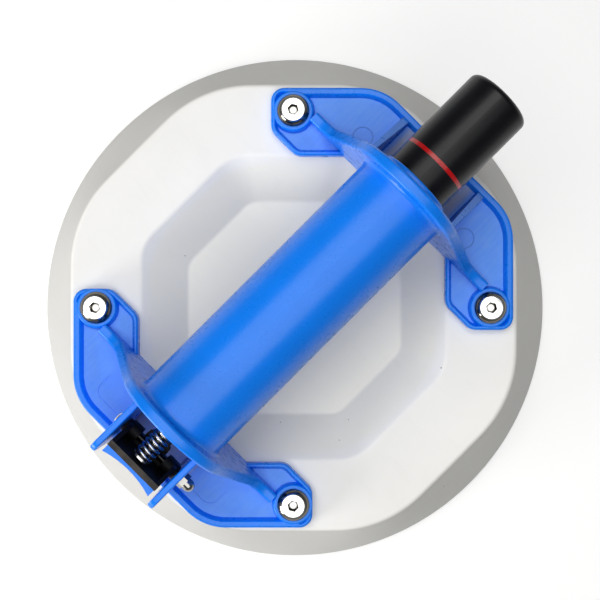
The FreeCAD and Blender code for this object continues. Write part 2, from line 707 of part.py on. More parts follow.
def plunger():
    """Hollow push tube with a closed, rounded outer end and a groove for the red line."""
    start = piston_face_x + piston_thickness
    tube = cylinder_x(plunger_radius, start, plunger_end_x)
    rim = [edge for edge in tube.Edges if abs(edge.BoundBox.XMin - plunger_end_x) < 0.01
           and edge.BoundBox.XLength < 0.01]
    tube = tube.makeFillet(plunger_end_fillet, rim)
    inner = plunger_radius - plunger_wall
    web_start = start + piston_spigot_length
    web_end = web_start + plunger_web
    groove = cylinder_x(plunger_radius + cut_margin, ring_x - ring_width / 2, ring_x + ring_width / 2)
    groove = groove.cut(cylinder_x(plunger_radius - ring_depth, start, plunger_end_x))
    return tube.cut([cylinder_x(inner, web_end, plunger_end_x - plunger_end_wall),
                     cylinder_x(inner, start, web_start),
                     cylinder_x(piston_screw_radius, web_start, web_end), groove])


def indicator_ring():
    """Red ring in the groove of the plunger."""
    start, end = ring_x - ring_width / 2, ring_x + ring_width / 2
    ring = cylinder_x(plunger_radius - ring_recess, start, end)
    return ring.cut(cylinder_x(plunger_radius - ring_depth, start, end))


def piston_head():
    """Disc with two lands that hold the cup seal, and a spigot into the plunger."""
    back = piston_face_x + piston_thickness
    land = cylinder_bore_radius - piston_edge_gap
    spigot = plunger_radius - plunger_wall - piston_spigot_clearance
    head = revolved_x([(piston_face_x, 0), (piston_face_x, land),
                       (piston_face_x + piston_land_thickness, land),
                       (piston_face_x + piston_land_thickness, cup_core_radius),
                       (back - piston_land_thickness, cup_core_radius),
                       (back - piston_land_thickness, land), (back, land), (back, spigot),
                       (back + piston_spigot_length, spigot), (back + piston_spigot_length, 0)])
    return head.cut(cylinder_x(piston_screw_radius, piston_face_x, back + piston_spigot_length))


def piston_cup_seal():
    """Rubber cup between the lands, its lip open towards the plunger."""
    start = piston_face_x + piston_land_thickness
    end = piston_face_x + piston_thickness - piston_land_thickness
    lip = cylinder_bore_radius - cup_lip_gap
    land = cylinder_bore_radius - piston_edge_gap
    return revolved_x([(start, cup_core_radius), (start, land - cup_wall), (end, lip),
                       (end, lip - cup_wall), (start + cup_wall, cup_core_radius + cup_wall),
                       (end, cup_core_radius + cup_wall), (end, cup_core_radius)])


def piston_screw():
    """Pan-head screw that holds the piston to the plunger."""
    shank_end = piston_face_x + piston_thickness + piston_spigot_length + piston_screw_depth
    head_top = piston_face_x - piston_screw_head_height
    bevel = piston_screw_head_height / 3
    screw = revolved_x([(head_top, 0), (head_top, piston_screw_head_radius - bevel),
                        (head_top + bevel, piston_screw_head_radius),
                        (piston_face_x, piston_screw_head_radius),
                        (piston_face_x, piston_screw_radius), (shank_end, piston_screw_radius),
                        (shank_end, 0)])
    slot = Part.makeBox(bevel, 2 * piston_screw_head_radius, bevel,
                        Vector(head_top, -piston_screw_head_radius, grip_axis_height - bevel / 2))
    return screw.cut(slot)


def coil_spring(start_x, end_x, radius, wire, turns):
    """Coil spring along the grip axis between two seats."""
    length = end_x - start_x - wire
    helix = Part.makeHelix(length / turns, length, radius)
    section = Part.Circle(Vector(radius, 0, 0), Y_AXIS, wire / 2).toShape()
    spring = Part.Wire(helix).makePipeShell([Part.Wire(section)], True, True)
    spring.Placement = FreeCAD.Placement(Vector(start_x + wire / 2, 0, grip_axis_height),
                                         FreeCAD.Rotation(Z_AXIS, X_AXIS))
    return spring


def return_spring():
    """Spring that pushes the plunger out."""
    return coil_spring(return_spring_seat_x, piston_face_x, return_spring_radius,
                       return_spring_wire, return_spring_turns)


def valve_spring():
    """Spring round the valve stem that pulls the valve shut and holds the lever out."""
    return coil_spring(retainer_x + retainer_thickness, spring_seat_x, valve_spring_radius,
                       valve_spring_wire, valve_spring_turns)


def valve_seat_bush():
    """Brass bush through the end wall of the grip, with the valve seat on its hexagon."""
    body = cylinder_x(bush_radius, spring_seat_x, -flange_inner_x)
    hexagon = hexagon_prism(bush_flange_width, bush_flange_thickness,
                            Vector(-flange_inner_x, 0, grip_axis_height), X_AXIS)
    bush = body.fuse(hexagon)
    return bush.cut(cylinder_x(stem_radius + running_clearance, spring_seat_x, bush_inner_x))


def bush_nut():
    """Thin round nut outside the end wall, which the valve spring stands on."""
    nut = cylinder_x(bush_nut_radius, spring_seat_x, -flange_outer_x)
    return nut.cut(cylinder_x(bush_radius, spring_seat_x, -flange_outer_x))


def valve_stem():
    """Stem with a disc inside the chamber, three air flats and a domed tip at the lever."""
    head_x = bush_inner_x + valve_seal_thickness
    stem = cylinder_x(stem_radius, stem_tip_x + stem_radius, head_x)
    flats = []
    for k in range(3):
        flat = Part.makeBox(head_x - valve_seal_thickness - spring_seat_x, 2 * stem_radius, stem_radius,
                            Vector(spring_seat_x, -stem_radius, grip_axis_height + stem_flat))
        flat.rotate(Vector(0, 0, grip_axis_height), X_AXIS, 120 * k)
        flats.append(flat)
    stem = stem.cut(flats)
    tip = Part.makeSphere(stem_radius, Vector(stem_tip_x + stem_radius, 0, grip_axis_height))
    head = cylinder_x(stem_head_radius, head_x, head_x + stem_head_thickness)
    stem = stem.fuse([tip, head])
    neck = cylinder_x(stem_radius + cut_margin, retainer_x, retainer_x + retainer_thickness)
    neck = neck.cut(cylinder_x(stem_neck_radius, retainer_x, retainer_x + retainer_thickness))
    return stem.cut(neck)


def valve_seal():
    """Rubber washer under the stem's disc that closes on the seat."""
    head_x = bush_inner_x + valve_seal_thickness
    seal = cylinder_x(valve_seal_radius, bush_inner_x, head_x)
    return seal.cut(cylinder_x(stem_radius, bush_inner_x, head_x))


def stem_retainer():
    """Snap washer in the neck of the stem, which the valve spring pushes on."""
    end = retainer_x + retainer_thickness
    washer = cylinder_x(retainer_radius, retainer_x, end)
    washer = washer.cut(cylinder_x(stem_neck_radius, retainer_x, end))
    half_mouth = 0.8 * stem_neck_radius
    mouth_depth = retainer_radius + cut_margin
    mouth = Part.makeBox(retainer_thickness, 2 * half_mouth, mouth_depth,
                         Vector(retainer_x, -half_mouth, grip_axis_height - mouth_depth))
    return washer.cut(mouth)


def release_lever():
    """Open tray with an upright wall, two cheeks and two knuckles on the pivot."""
    wall_outer_x = lever_wall_x - lever_wall_thickness
    width = 2 * lever_half_width
    wall = Part.makeBox(lever_wall_thickness, width, lever_top_height - lever_base_height,
                        Vector(wall_outer_x, -lever_half_width, lever_base_height))
    floor = Part.makeBox(lever_front_x - wall_outer_x, width, lever_floor_thickness,
                         Vector(wall_outer_x, -lever_half_width, lever_base_height))
    edge = [Vector(x, y, lever_base_height) for x, y in lever_tongue]
    edge += [Vector(x, -y, lever_base_height) for x, y in reversed(lever_tongue)]
    tongue = Part.Face(Part.makePolygon(edge + edge[:1])).extrude(Vector(0, 0, lever_floor_thickness))
    parts = [floor, tongue]
    cheek_top = lever_base_height + lever_cheek_height
    wall_top = lever_top_height - lever_cheek_top_inset
    for side in (1, -1):
        corners = [(wall_outer_x, lever_base_height, 0), (lever_front_x, lever_base_height, 0),
                   (lever_front_x, cheek_top, lever_cheek_corner_radius), (lever_wall_x, wall_top, 0),
                   (wall_outer_x, wall_top, 0)]
        y = side * lever_half_width
        wire = rounded_wire(corners, lambda p: Vector(p.x, y, p.y))
        parts.append(Part.Face(wire).extrude(Vector(0, -side * lever_cheek_thickness, 0)))
        knuckle_end = ear_inner_y - lever_side_clearance
        inner = knuckle_end - lever_knuckle_length
        parts.append(Part.makeCylinder(lever_knuckle_radius, lever_knuckle_length,
                                       Vector(pivot_x, side * inner, pivot_height), Y_AXIS * side))
        web = Part.makeBox(2 * lever_web_half_length, lever_half_width - inner,
                           pivot_height - lever_base_height,
                           Vector(pivot_x - lever_web_half_length,
                                  inner if side > 0 else -lever_half_width, lever_base_height))
        parts.append(web)
    lever = wall.fuse(parts).removeSplitter()
    cuts = [Part.makeCylinder(pivot_radius + running_clearance, 2 * ear_outer_y,
                              Vector(pivot_x, -ear_outer_y, pivot_height), Y_AXIS)]
    for side in (1, -1):
        notch_y = lever_tongue[0][1] if side > 0 else -lever_tongue[0][1] - lever_notch_width
        cuts.append(Part.makeBox(lever_notch_depth, lever_notch_width, lever_floor_thickness,
                                 Vector(lever_front_x - lever_notch_depth, notch_y, lever_base_height)))
        cuts.append(thumb_peg(side))
    return lever.cut(cuts)


def thumb_peg(side):
    """Blind peg of the thumb plate in the lever's wall."""
    base = Vector(lever_wall_x - lever_wall_thickness, side * thumb_peg_spacing / 2, thumb_peg_height)
    return Part.makeCylinder(thumb_peg_radius, lever_wall_thickness - thumb_peg_cover, base, X_AXIS)


def lever_thumb_pad():
    """Blue thumb plate on the lever's wall, hollowed across its width, with two pegs."""
    face_x = lever_wall_x - lever_wall_thickness
    half_width = lever_half_width - thumb_side_inset
    end_x = face_x - thumb_end_thickness
    middle_x = face_x - thumb_middle_thickness
    bottom, top = lever_base_height, lever_top_height
    points = [Vector(face_x, -half_width, bottom), Vector(end_x, -half_width, bottom),
              Vector(middle_x, 0, bottom), Vector(end_x, half_width, bottom),
              Vector(face_x, half_width, bottom)]
    edges = [Part.LineSegment(points[0], points[1]).toShape(),
             Part.Arc(points[1], points[2], points[3]).toShape(),
             Part.LineSegment(points[3], points[4]).toShape(),
             Part.LineSegment(points[4], points[0]).toShape()]
    pad = Part.Face(Part.Wire(edges)).extrude(Vector(0, 0, top - bottom))
    return pad.fuse([thumb_peg(1), thumb_peg(-1)])


def pivot_screw():
    """Button-head screw that the lever turns on."""
    head_y = ear_outer_y
    shank_end = -ear_outer_y - acorn_hex_length
    shank = Part.makeCylinder(pivot_radius, head_y - shank_end, Vector(pivot_x, head_y, pivot_height),
                              -Y_AXIS)
    head = Part.makeCylinder(pivot_head_radius, pivot_head_height,
                             Vector(pivot_x, head_y, pivot_height), Y_AXIS)
    outer = [edge for edge in head.Edges if abs(edge.BoundBox.YMin - head_y - pivot_head_height) < 0.01
             and edge.BoundBox.YLength < 0.01]
    head = head.makeFillet(pivot_head_height * 0.7, outer)
    socket = hexagon_prism(pivot_socket_width, pivot_head_height * 0.6,
                           Vector(pivot_x, head_y + pivot_head_height * 0.4, pivot_height), Y_AXIS)
    return shank.fuse(head).cut(socket)


def pivot_acorn_nut():
    """Domed nut on the end of the pivot screw."""
    start = Vector(pivot_x, -ear_outer_y, pivot_height)
    hexagon = hexagon_prism(acorn_width, acorn_hex_length, start, -Y_AXIS)
    neck_length = acorn_length - acorn_hex_length - acorn_dome_radius
    neck = Part.makeCylinder(acorn_dome_radius, neck_length, start - Y_AXIS * acorn_hex_length, -Y_AXIS)
    dome = Part.makeSphere(acorn_dome_radius, start - Y_AXIS * (acorn_hex_length + neck_length))
    nut = hexagon.fuse([neck, dome]).removeSplitter()
    return nut.cut(Part.makeCylinder(pivot_radius, acorn_hex_length, start, -Y_AXIS))


PARTS = {
    "suction_pad": suction_pad,
    "stiffener_plate": stiffener_plate,
    "pad_insert_nuts": lambda: Part.makeCompound(four_ways(pad_insert())),
    "air_filter": air_filter,
    "handle_body": handle_body,
    "handle_screws": lambda: Part.makeCompound(four_ways(handle_screw())),
    "duct_ring": duct_ring,
    "pump_cylinder": pump_cylinder,
    "cylinder_seal": cylinder_seal,
    "inlet_check_valve": inlet_check_valve,
    "guide_sleeve": guide_sleeve,
    "wiper_ring": wiper_ring,
    "return_spring": return_spring,
    "plunger": plunger,
    "indicator_ring": indicator_ring,
    "piston_head": piston_head,
    "piston_cup_seal": piston_cup_seal,
    "piston_screw": piston_screw,
    "valve_seat_bush": valve_seat_bush,
    "bush_nut": bush_nut,
    "valve_stem": valve_stem,
    "valve_seal": valve_seal,
    "stem_retainer": stem_retainer,
    "valve_spring": valve_spring,
    "release_lever": release_lever,
    "lever_thumb_pad": lever_thumb_pad,
    "pivot_screw": pivot_screw,
    "pivot_acorn_nut": pivot_acorn_nut,
}

os.makedirs("parts", exist_ok=True)
for name, make in PARTS.items():
    shape = make()
    shape.exportStep("parts/" + name + ".step")
    print(name, "solids", len(shape.Solids), "volume", round(shape.Volume, 1), "valid", shape.isValid())
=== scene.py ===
import math
import bpy
import numpy as np
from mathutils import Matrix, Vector


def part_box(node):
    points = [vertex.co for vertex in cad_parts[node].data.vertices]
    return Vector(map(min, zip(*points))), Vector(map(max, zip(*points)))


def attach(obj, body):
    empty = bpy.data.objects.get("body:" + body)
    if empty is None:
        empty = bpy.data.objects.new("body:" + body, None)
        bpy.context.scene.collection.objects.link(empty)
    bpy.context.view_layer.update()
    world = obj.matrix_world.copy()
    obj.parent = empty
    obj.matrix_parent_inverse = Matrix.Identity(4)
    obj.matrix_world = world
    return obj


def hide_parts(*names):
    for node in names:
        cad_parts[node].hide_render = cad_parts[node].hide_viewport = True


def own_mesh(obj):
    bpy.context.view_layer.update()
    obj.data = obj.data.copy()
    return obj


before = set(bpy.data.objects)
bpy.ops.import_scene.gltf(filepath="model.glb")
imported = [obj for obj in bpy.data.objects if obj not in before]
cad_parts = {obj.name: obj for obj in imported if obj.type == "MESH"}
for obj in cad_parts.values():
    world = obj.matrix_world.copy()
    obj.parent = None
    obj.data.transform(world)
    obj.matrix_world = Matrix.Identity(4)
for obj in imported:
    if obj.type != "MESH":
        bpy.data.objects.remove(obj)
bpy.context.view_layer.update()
scene = bpy.context.scene

# Camera, almost straight above the pad, turned so that the plunger points up and to the right

cameraSettings = {
    "height": 0.489,
    "offset": (0.0081, -0.0072),
    "turn": -45.0,            # degrees about Z
    "focalOverWidth": 1.914,
    "shift": (-0.0341, 0.0102),
}


def makeCamera(settings):
    data = bpy.data.cameras.new("viewCamera")
    data.sensor_width = 36.0
    data.lens = 36.0 * settings["focalOverWidth"]
    data.shift_x, data.shift_y = settings["shift"]
    data.clip_start = 0.01
    camera = bpy.data.objects.new("viewCamera", data)
    camera.location = (*settings["offset"], settings["height"])
    camera.rotation_euler = (0.0, 0.0, math.radians(settings["turn"]))
    scene.collection.objects.link(camera)
    scene.camera = camera


makeCamera(cameraSettings)
print("camera set")


# Small helpers for shader nodes

def objectCoords(tree):
    return tree.nodes.new("ShaderNodeTexCoord").outputs["Object"]


def newMaterial(name):
    material = bpy.data.materials.new(name)
    material.use_nodes = True
    tree = material.node_tree
    return material, tree, tree.nodes["Principled BSDF"], objectCoords(tree)


def noise(tree, vector, scale, detail=3.0, roughness=0.55):
    node = tree.nodes.new("ShaderNodeTexNoise")
    node.inputs["Scale"].default_value = scale
    node.inputs["Detail"].default_value = detail
    node.inputs["Roughness"].default_value = roughness
    tree.links.new(vector, node.inputs["Vector"])
    return node.outputs["Fac"]


def ramp(tree, value, places, colors):
    node = tree.nodes.new("ShaderNodeValToRGB")
    for element, place, color in zip(node.color_ramp.elements, places, colors):
        element.position, element.color = place, color
    tree.links.new(value, node.inputs["Fac"])
    return node.outputs["Color"]


def mapRange(tree, value, low, high, source=(0.0, 1.0)):
    node = tree.nodes.new("ShaderNodeMapRange")
    node.inputs["From Min"].default_value, node.inputs["From Max"].default_value = source
    node.inputs["To Min"].default_value = low
    node.inputs["To Max"].default_value = high
    tree.links.new(value, node.inputs["Value"])
    return node.outputs["Result"]


def fadeIn(tree, value, start, width):
    # 0 up to the start, 1 from a width further on
    return mapRange(tree, value, 0.0, 1.0, (start, start + width))


def fadeOut(tree, value, start, width):
    return mapRange(tree, value, 1.0, 0.0, (start, start + width))


def combine(tree, operation, first, second=None):
    # second is a fixed number, another value or nothing
    node = tree.nodes.new("ShaderNodeMath")
    node.operation = operation
    tree.links.new(first, node.inputs[0])
    if isinstance(second, float):
        node.inputs[1].default_value = second
    elif second is not None:
        tree.links.new(second, node.inputs[1])
    return node.outputs["Value"]


def splitVector(tree, vector):
    node = tree.nodes.new("ShaderNodeSeparateXYZ")
    tree.links.new(vector, node.inputs["Vector"])
    return node.outputs


def stretched(tree, vector, scale):
    node = tree.nodes.new("ShaderNodeMapping")
    node.inputs["Scale"].default_value = scale
    tree.links.new(vector, node.inputs["Vector"])
    return node.outputs["Vector"]


def lengthOf(tree, vector):
    node = tree.nodes.new("ShaderNodeVectorMath")
    node.operation = "LENGTH"
    tree.links.new(vector, node.inputs[0])
    return node.outputs["Value"]


def upwardness(tree):
    # 1 where the surface lies level and looks up, 0 where it stands upright
    return splitVector(tree, tree.nodes.new("ShaderNodeNewGeometry").outputs["Normal"])["Z"]


def reachFrom(tree, place, centre=(0.0, 0.0)):
    # distance from upright axes that stand on both sides of both planes: length of (|x| - a, |y| - b)
    offset = tree.nodes.new("ShaderNodeCombineXYZ")
    for axis, middle in zip("XY", centre):
        shifted = combine(tree, "SUBTRACT", combine(tree, "ABSOLUTE", place[axis]), middle)
        tree.links.new(shifted, offset.inputs[axis])
    return lengthOf(tree, offset.outputs["Vector"])


def mixColor(tree, amount, under, over):
    # over is laid on under by the amount; either may be a fixed colour
    node = tree.nodes.new("ShaderNodeMix")
    node.data_type = "RGBA"
    tree.links.new(amount, node.inputs["Factor"])
    for name, color in (("A", under), ("B", over)):
        socket = [i for i in node.inputs if i.name == name and i.type == "RGBA"][0]
        if isinstance(color, tuple):
            socket.default_value = color
        else:
            tree.links.new(color, socket)
    return [o for o in node.outputs if o.type == "RGBA"][0]


def layColor(tree, shader, amount, color):
    # a fixed colour laid over what the shader has so far
    socket = shader.inputs["Base Color"]
    tree.links.new(mixColor(tree, amount, socket.links[0].from_socket, (*color[:3], 1.0)), socket)


def layRoughness(tree, shader, amount, roughness):
    socket = shader.inputs["Roughness"]
    node = tree.nodes.new("ShaderNodeMix")
    tree.links.new(amount, node.inputs["Factor"])
    tree.links.new(socket.links[0].from_socket, node.inputs["A"])
    node.inputs["B"].default_value = roughness
    tree.links.new(node.outputs["Result"], socket)


def bump(tree, shader, height, strength, distance):
    node = tree.nodes.new("ShaderNodeBump")
    node.inputs["Strength"].default_value = strength
    node.inputs["Distance"].default_value = distance
    tree.links.new(height, node.inputs["Height"])
    tree.links.new(node.outputs["Normal"], shader.inputs["Normal"])


def tone(color, factor):
    return (*[min(1.0, c * factor) for c in color], 1.0)


def reopened(material):
    # what a finish on top of a made material needs
    tree = material.node_tree
    coords = objectCoords(tree)
    return tree, tree.nodes["Principled BSDF"], coords, splitVector(tree, coords)


# Moulded plastic and rubber: colour with a slow mottle, roughness with a finer one, and a fine grain

plasticSettings = {
    "bluePlastic": {"color": (0.003, 0.2, 0.88), "mottle": 0.05, "rough": (0.24, 0.32),
                    "grain": 2600.0, "grainDepth": 0.000008, "specular": 0.36},
    "plungerBlack": {"color": (0.0042, 0.0044, 0.0062), "mottle": 0.2, "rough": (0.24, 0.34),
                     "grain": 3000.0, "grainDepth": 0.000015, "specular": 0.25},
    "redLine": {"color": (0.42, 0.004, 0.006), "mottle": 0.06, "rough": (0.18, 0.26),
                "grain": 2000.0, "grainDepth": 0.00001, "specular": 0.5},
    "sealRubber": {"color": (0.012, 0.012, 0.013), "mottle": 0.2, "rough": (0.55, 0.7),
                   "grain": 1800.0, "grainDepth": 0.00003, "specular": 0.35},
    "felt": {"color": (0.6, 0.58, 0.52), "mottle": 0.25, "rough": (0.85, 0.95),
             "grain": 2400.0, "grainDepth": 0.0003, "specular": 0.2},
}
plasticPattern = {"mottleScale": 38.0, "mottleRange": (0.3, 0.7), "roughScale": 260.0, "grainStrength": 0.5}


def mottled(tree, shader, coords, settings, scale, detail, places):
    # the colour swings between a darker and a lighter tone of itself
    tones = [tone(settings["color"], 1.0 + side * settings["mottle"]) for side in (-1, 1)]
    mottle = ramp(tree, noise(tree, coords, scale, detail), places, tones)
    tree.links.new(mottle, shader.inputs["Base Color"])


def makePlastic(name, settings, pattern):
    material, tree, shader, coords = newMaterial(name)
    mottled(tree, shader, coords, settings, pattern["mottleScale"], 3.0, pattern["mottleRange"])
    fine = noise(tree, coords, pattern["roughScale"])
    tree.links.new(mapRange(tree, fine, *settings["rough"]), shader.inputs["Roughness"])
    shader.inputs["Specular IOR Level"].default_value = settings["specular"]
    grain = noise(tree, coords, settings["grain"], 2.0)
    bump(tree, shader, grain, pattern["grainStrength"], settings["grainDepth"])
    return material


# Metals: even colour, roughness broken up by fine marks

metalSettings = {
    "polishedSteel": {"color": (0.74, 0.74, 0.75), "rough": (0.08, 0.2), "marks": 900.0},
    "springSteel": {"color": (0.56, 0.57, 0.58), "rough": (0.16, 0.3), "marks": 1400.0},
    "plateSteel": {"color": (0.42, 0.42, 0.42), "rough": (0.35, 0.5), "marks": 600.0},
    "brass": {"color": (0.72, 0.52, 0.22), "rough": (0.22, 0.36), "marks": 1100.0},
    "aluminium": {"color": (0.7, 0.71, 0.72), "rough": (0.26, 0.38), "marks": 800.0},
    "nutSteel": {"color": (0.34, 0.335, 0.32), "rough": (0.14, 0.26), "marks": 1200.0},
    "oiledSteel": {"color": (0.07, 0.068, 0.065), "rough": (0.3, 0.45), "marks": 900.0},
}
metalPattern = {"toneScale": 150.0, "toneRange": (0.25, 0.75), "tones": (0.93, 1.04),
                "markStrength": 0.2, "markDepth": 0.000008}


def makeMetal(name, settings, pattern):
    material, tree, shader, coords = newMaterial(name)
    shader.inputs["Metallic"].default_value = 1.0
    marks = noise(tree, coords, settings["marks"], 4.0, 0.6)
    tree.links.new(mapRange(tree, marks, *settings["rough"]), shader.inputs["Roughness"])
    tones = [tone(settings["color"], factor) for factor in pattern["tones"]]
    color = ramp(tree, noise(tree, coords, pattern["toneScale"]), pattern["toneRange"], tones)
    tree.links.new(color, shader.inputs["Base Color"])
    bump(tree, shader, marks, pattern["markStrength"], pattern["markDepth"])
    return material


# Blue handle: clear blue, with a paler haze as of dust and fine scratches in the pockets of its feet, and
# painted shade in their middle

handleFinish = {
    "hazeColor": (0.12, 0.33, 0.87), "hazeTop": 0.0292, "hazeFade": 0.0005, "hazeLevel": (0.75, 0.95),
    "haze": (0.5, 0.9), "hazeRange": (0.12, 0.4), "hazeRough": 0.5,
    "streakScale": (90.0, 900.0, 90.0), "blotchScale": 120.0,
    "middleShadeColor": (0.3, 0.32, 0.4), "middleShadeEdge": (0.0165, 0.0185),
    "markCentre": (0.068, 0.0287), "markRadius": 0.004, "markLine": 0.0003, "markTone": 0.45,
    "markStrength": 0.5, "markFrom": 0.01,
}


def makeMouldedHandle(settings, base):
    material = makePlastic("mouldedHandle", base, plasticPattern)
    tree, shader, coords, place = reopened(material)
    top, fade = settings["hazeTop"], settings["hazeFade"]
    pocket = combine(tree, "MULTIPLY", fadeOut(tree, place["Z"], top - fade, 2 * fade),
                     mapRange(tree, upwardness(tree), 0.0, 1.0, settings["hazeLevel"]))
    # streaks run along the handle; blotches break them up
    streaks = noise(tree, stretched(tree, coords, settings["streakScale"]), 1.0, 4.0, 0.6)
    blotches = noise(tree, coords, settings["blotchScale"])
    wear = mapRange(tree, combine(tree, "MULTIPLY", streaks, blotches), *settings["haze"],
                    settings["hazeRange"])
    haze = combine(tree, "MULTIPLY", pocket, wear)
    layColor(tree, shader, haze, settings["hazeColor"])
    # painted shade with a pale painted reflection in the middle, under the plunger and the lever, laid on
    # as a greyer haze
    middle = mapRange(tree, combine(tree, "ABSOLUTE", place["Y"]), 1.0, 0.0, settings["middleShadeEdge"])
    layColor(tree, shader, combine(tree, "MULTIPLY", haze, middle), settings["middleShadeColor"])
    # ejector marks on the foot under the plunger: a thin darker line along each mark's step
    off = combine(tree, "SUBTRACT", reachFrom(tree, place, settings["markCentre"]), settings["markRadius"])
    half = settings["markLine"] / 2
    line = mapRange(tree, combine(tree, "ABSOLUTE", off), settings["markStrength"], 0.0, (half, 2 * half))
    mark = combine(tree, "MULTIPLY", combine(tree, "MULTIPLY", line, pocket),
                   fadeIn(tree, place["X"], 0.0, settings["markFrom"]))
    layColor(tree, shader, mark, tone(base["color"], settings["markTone"]))
    layRoughness(tree, shader, haze, settings["hazeRough"])
    return material


# Pad: pale rubber with a slow mottle, faint scuffs and a few tiny dark specks. The flank's darker tone
# is painted shade, and the recess's warmer tone is painted to offset the blue light thrown from the handle;
# both are set for these lamps, and aren't known traits of the rubber

padFinish = {
    "color": (0.885, 0.875, 0.84), "mottle": 0.03, "mottleScale": 22.0, "rough": (0.46, 0.6),
    "specular": 0.4, "grain": 1600.0, "grainStrength": 0.5, "grainDepth": 0.00003,
    "flankShadeColor": (0.625, 0.62, 0.6), "flankRadius": (0.085, 0.09), "flankSlope": (0.7, 0.95),
    "recessColor": (0.885, 0.868, 0.785), "recessRadius": (0.059, 0.0625), "recessDrop": (0.022, 0.0262),
    "recessLevel": (0.0, 0.3),
    "scuffScale": (260.0, 60.0, 200.0), "scuffs": 0.05, "scuffRange": (0.55, 0.75), "scuffTone": 0.5,
    "speckScale": 240.0, "speckSize": (0.05, 0.11), "speckRarity": (0.955, 0.97),
    "speckColor": (0.32, 0.31, 0.29),
}


def makePadRubber(settings):
    material, tree, shader, coords = newMaterial("padRubber")
    mottled(tree, shader, coords, settings, settings["mottleScale"], 4.0, plasticPattern["mottleRange"])
    place = splitVector(tree, coords)
    reach, level = reachFrom(tree, place), upwardness(tree)
    flank = combine(tree, "MULTIPLY", mapRange(tree, reach, 0.0, 1.0, settings["flankRadius"]),
                    mapRange(tree, level, 1.0, 0.0, settings["flankSlope"]))
    # painted shade: the sloping flank is darkened all round
    layColor(tree, shader, flank, settings["flankShadeColor"])
    recess = combine(tree, "MULTIPLY", mapRange(tree, reach, 1.0, 0.0, settings["recessRadius"]),
                     combine(tree, "MULTIPLY", mapRange(tree, place["Z"], 1.0, 0.0, settings["recessDrop"]),
                             mapRange(tree, level, 0.0, 1.0, settings["recessLevel"])))
    # painted warmth in the recess, offsetting the blue light thrown from the handle
    layColor(tree, shader, recess, settings["recessColor"])
    scuffs = noise(tree, stretched(tree, coords, settings["scuffScale"]), 1.0, 5.0, 0.7)
    layColor(tree, shader, mapRange(tree, scuffs, 0.0, settings["scuffs"], settings["scuffRange"]),
             tone(settings["color"], settings["scuffTone"]))
    cells = tree.nodes.new("ShaderNodeTexVoronoi")
    cells.inputs["Scale"].default_value = settings["speckScale"]
    tree.links.new(coords, cells.inputs["Vector"])
    near = mapRange(tree, cells.outputs["Distance"], 1.0, 0.0, settings["speckSize"])
    chance = splitVector(tree, cells.outputs["Color"])["X"]
    rare = mapRange(tree, chance, 0.0, 1.0, settings["speckRarity"])
    layColor(tree, shader, combine(tree, "MULTIPLY", near, rare), settings["speckColor"])
    tree.links.new(mapRange(tree, scuffs, *settings["rough"]), shader.inputs["Roughness"])
    shader.inputs["Specular IOR Level"].default_value = settings["specular"]
    grain = noise(tree, coords, settings["grain"], 2.0)
    bump(tree, shader, grain, settings["grainStrength"], settings["grainDepth"])
    return material


# Pivot pin: bright at its two ends and dark between the ears

pinFinish = {"darkWithin": 0.0142, "fade": 0.0003, "darkShankColor": (0.02, 0.019, 0.018)}


def makePinSteel(settings, steel):
    material = makeMetal("pinSteel", steel, metalPattern)
    tree, shader, coords, place = reopened(material)
    across = combine(tree, "ABSOLUTE", place["Y"])
    layColor(tree, shader, fadeOut(tree, across, settings["darkWithin"], settings["fade"]),
             settings["darkShankColor"])
    return material


# Screws: bright face and socket floor, a painted dark reflection on the shoulder and painted shade in the
# corners of the socket

screwFinish = {"centre": (0.0555, 0.0555), "shoulderFrom": 0.00475, "shoulderFade": 0.0004,
               "socketFloor": 0.0009, "floorFade": 0.0006, "socketCornerShade": (0.3, 0.9),
               "socketEdge": 0.0024, "faceHeight": 0.0348, "edgeFade": 0.0001,
               "paintedDarkColor": (0.17, 0.16, 0.135)}


def makeScrewSteel(settings, steel):
    material = makeMetal("screwSteel", steel, metalPattern)
    tree, shader, coords, place = reopened(material)
    reach = reachFrom(tree, place, settings["centre"])   # one formula serves all four screws
    shoulder = fadeIn(tree, reach, settings["shoulderFrom"], settings["shoulderFade"])
    floor, edge = settings["socketFloor"], settings["edgeFade"]
    corners = mapRange(tree, reach, *settings["socketCornerShade"], (floor, floor + settings["floorFade"]))
    ring = combine(tree, "MULTIPLY", corners, fadeOut(tree, reach, settings["socketEdge"], edge))
    socket = combine(tree, "MULTIPLY", ring, fadeOut(tree, place["Z"], settings["faceHeight"], edge))
    # painted dark reflection on the shoulder and painted shade in the socket's corners
    layColor(tree, shader, combine(tree, "MAXIMUM", shoulder, socket), settings["paintedDarkColor"])
    return material


# Lever: black, with a dull brown grey in patches along its top edge: a painted reflection of the lamps
# above

leverPlastic = {"color": (0.0045, 0.0042, 0.0045), "mottle": 0.25, "rough": (0.5, 0.66),
                "grain": 2600.0, "grainDepth": 0.00003, "specular": 0.25}
leverFinish = {"sheenFrom": 0.0746, "fade": 0.0003, "patchScale": 300.0, "patches": (0.4, 1.0),
               "patchRange": (0.35, 0.6), "sheenColor": (0.05, 0.043, 0.035)}


def makeLeverBlack(settings, base):
    material = makePlastic("leverBlack", base, plasticPattern)
    tree, shader, coords, place = reopened(material)
    # painted reflection along the top edge
    topSheen = fadeIn(tree, place["Z"], settings["sheenFrom"], settings["fade"])
    patches = mapRange(tree, noise(tree, coords, settings["patchScale"]), *settings["patches"],
                       settings["patchRange"])
    layColor(tree, shader, combine(tree, "MULTIPLY", topSheen, patches), settings["sheenColor"])
    return material


